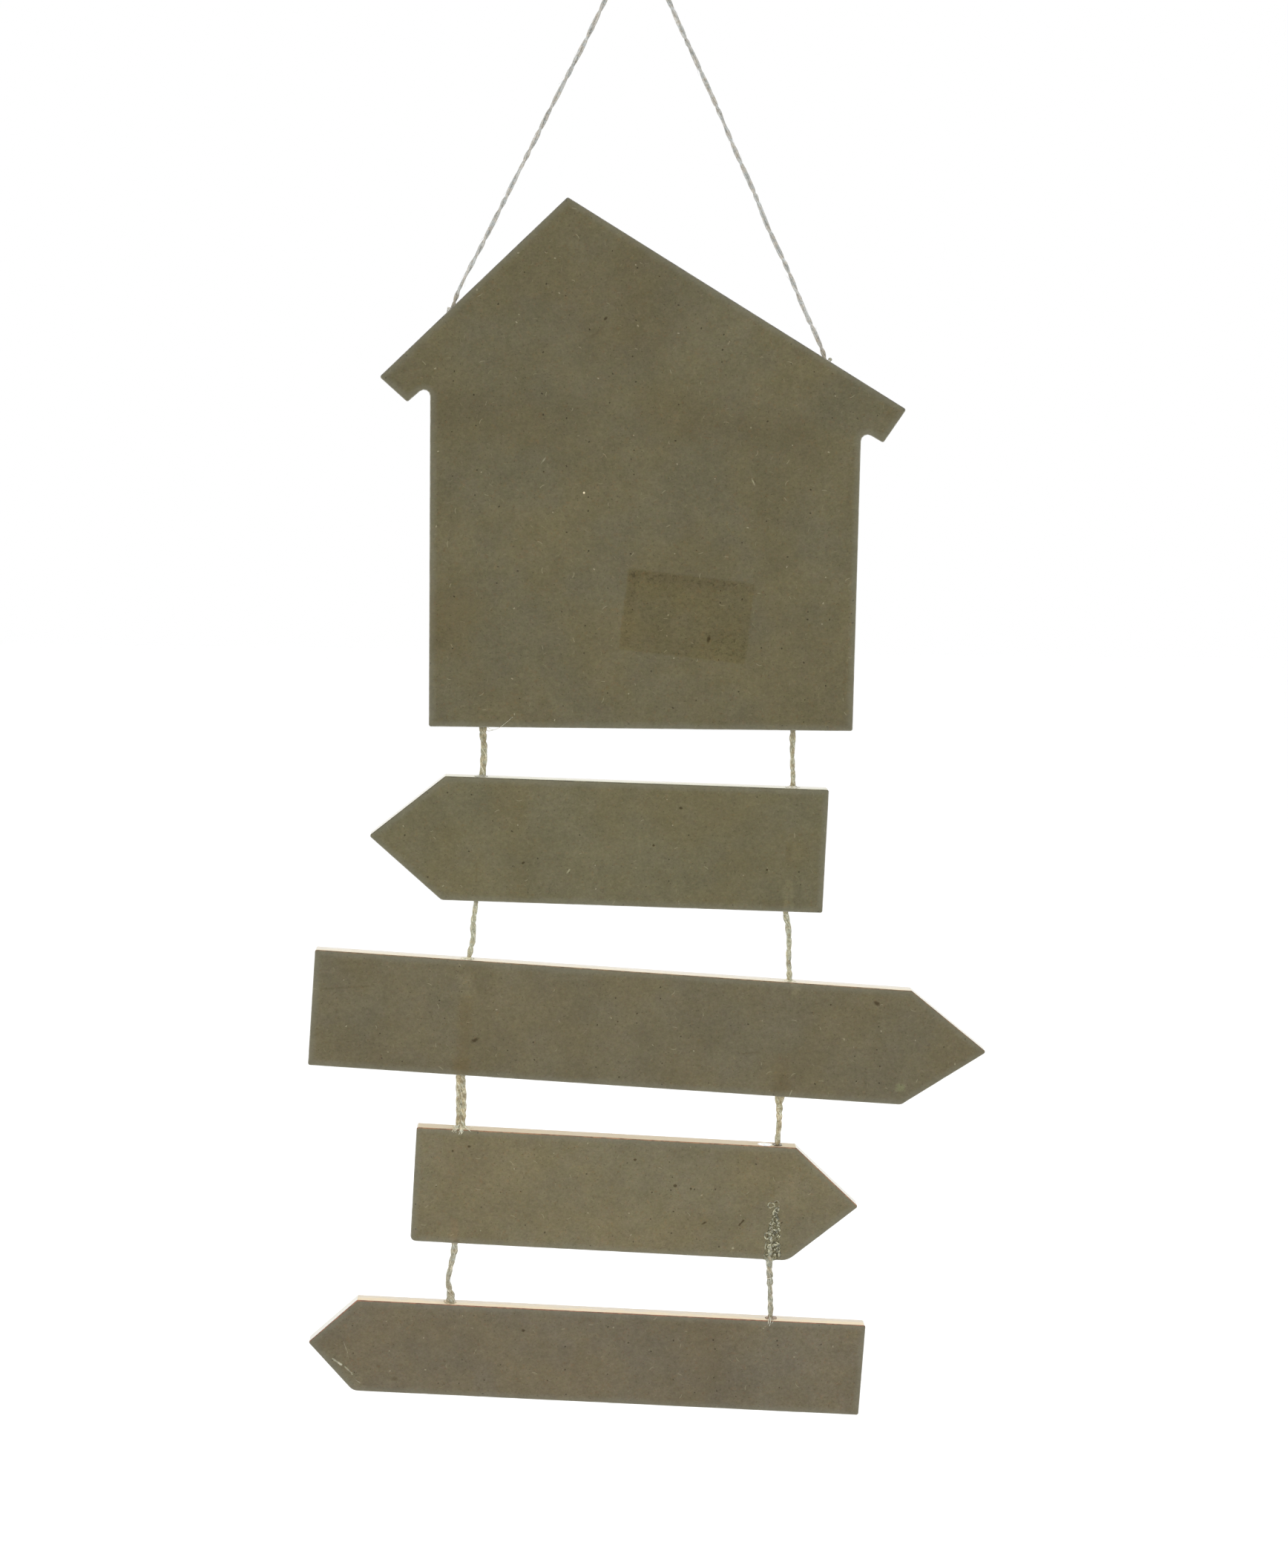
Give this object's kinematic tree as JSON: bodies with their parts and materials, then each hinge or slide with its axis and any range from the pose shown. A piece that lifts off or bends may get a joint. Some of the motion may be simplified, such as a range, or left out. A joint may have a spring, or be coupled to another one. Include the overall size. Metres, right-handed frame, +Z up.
{
  "type": "decorative hanging sign",
  "caption": "House-shaped board with arrow boards hung below it on short twines, hung from a nail by a twine loop.",
  "frame": {"origin": "the nail inside the bend of the hanging loop, in the middle plane of the boards", "axes": "+Z up, the boards hang in the XZ plane, and the bare backs that the picture shows face -Y, with +X to the picture's right"},
  "size_m": [0.2508, 0.006, 0.5368],
  "materials": {
    "fibreboard": "raw medium-density fibreboard, matte",
    "twine": "two-ply jute, fuzzy",
    "set_glue": "set clear glue, slightly yellow"
  },
  "bodies": {
    "hanging_cord": {"hanging_cord": "twine"},
    "house": {"house_board": "fibreboard", "roof_glue_left": "set_glue", "roof_glue_right": "set_glue", "house_base_glue_left": "set_glue", "house_base_glue_right": "set_glue"},
    "board_1": {"arrow_board_1": "fibreboard", "link_cord_1_left": "twine", "link_cord_1_right": "twine", "board_1_top_glue_left": "set_glue", "board_1_top_glue_right": "set_glue", "board_1_base_glue_left": "set_glue", "board_1_base_glue_right": "set_glue"},
    "board_2": {"arrow_board_2": "fibreboard", "link_cord_2_left": "twine", "link_cord_2_right": "twine", "board_2_top_glue_left": "set_glue", "board_2_top_glue_right": "set_glue", "board_2_base_glue_left": "set_glue", "board_2_base_glue_right": "set_glue"},
    "board_3": {"arrow_board_3": "fibreboard", "link_cord_3_left_outer": "twine", "link_cord_3_left_inner": "twine", "link_cord_3_right": "twine", "board_3_top_glue_left": "set_glue", "board_3_top_glue_right": "set_glue", "board_3_base_glue_left": "set_glue", "board_3_base_glue_right": "set_glue"},
    "board_4": {"arrow_board_4": "fibreboard", "link_cord_4_left": "twine", "link_cord_4_right": "twine", "board_4_top_glue_left": "set_glue", "board_4_top_glue_right": "set_glue"}
  },
  "joints": [
    {"name": "house_swing", "type": "hinge", "parent": "hanging_cord", "child": "house", "pos_m": [0.0029, 0, -0.1263], "axis": [0.9923, 0, -0.1241], "range_deg": [-45, 45], "deforming": ["hanging_cord"]},
    {"name": "board_1_swing", "type": "hinge", "parent": "house", "child": "board_1", "pos_m": [0.0045, 0, -0.2785], "axis": [0.9999, 0, -0.0131], "range_deg": [-60, 60], "deforming": ["link_cord_1_left", "link_cord_1_right"]},
    {"name": "board_2_swing", "type": "hinge", "parent": "board_1", "child": "board_2", "pos_m": [0.0045, 0, -0.34677], "axis": [0.999, 0, -0.0445], "range_deg": [-60, 60], "deforming": ["link_cord_2_left", "link_cord_2_right"]},
    {"name": "board_3_swing", "type": "hinge", "parent": "board_2", "child": "board_3", "pos_m": [0.0045, 0, -0.4128], "axis": [0.9984, 0, -0.0567], "range_deg": [-60, 60], "deforming": ["link_cord_3_left_outer", "link_cord_3_left_inner", "link_cord_3_right"]},
    {"name": "board_4_swing", "type": "hinge", "parent": "board_3", "child": "board_4", "pos_m": [0.0045, 0, -0.47886], "axis": [0.9988, 0, -0.0497], "range_deg": [-60, 60], "deforming": ["link_cord_4_left", "link_cord_4_right"]}
  ]
}
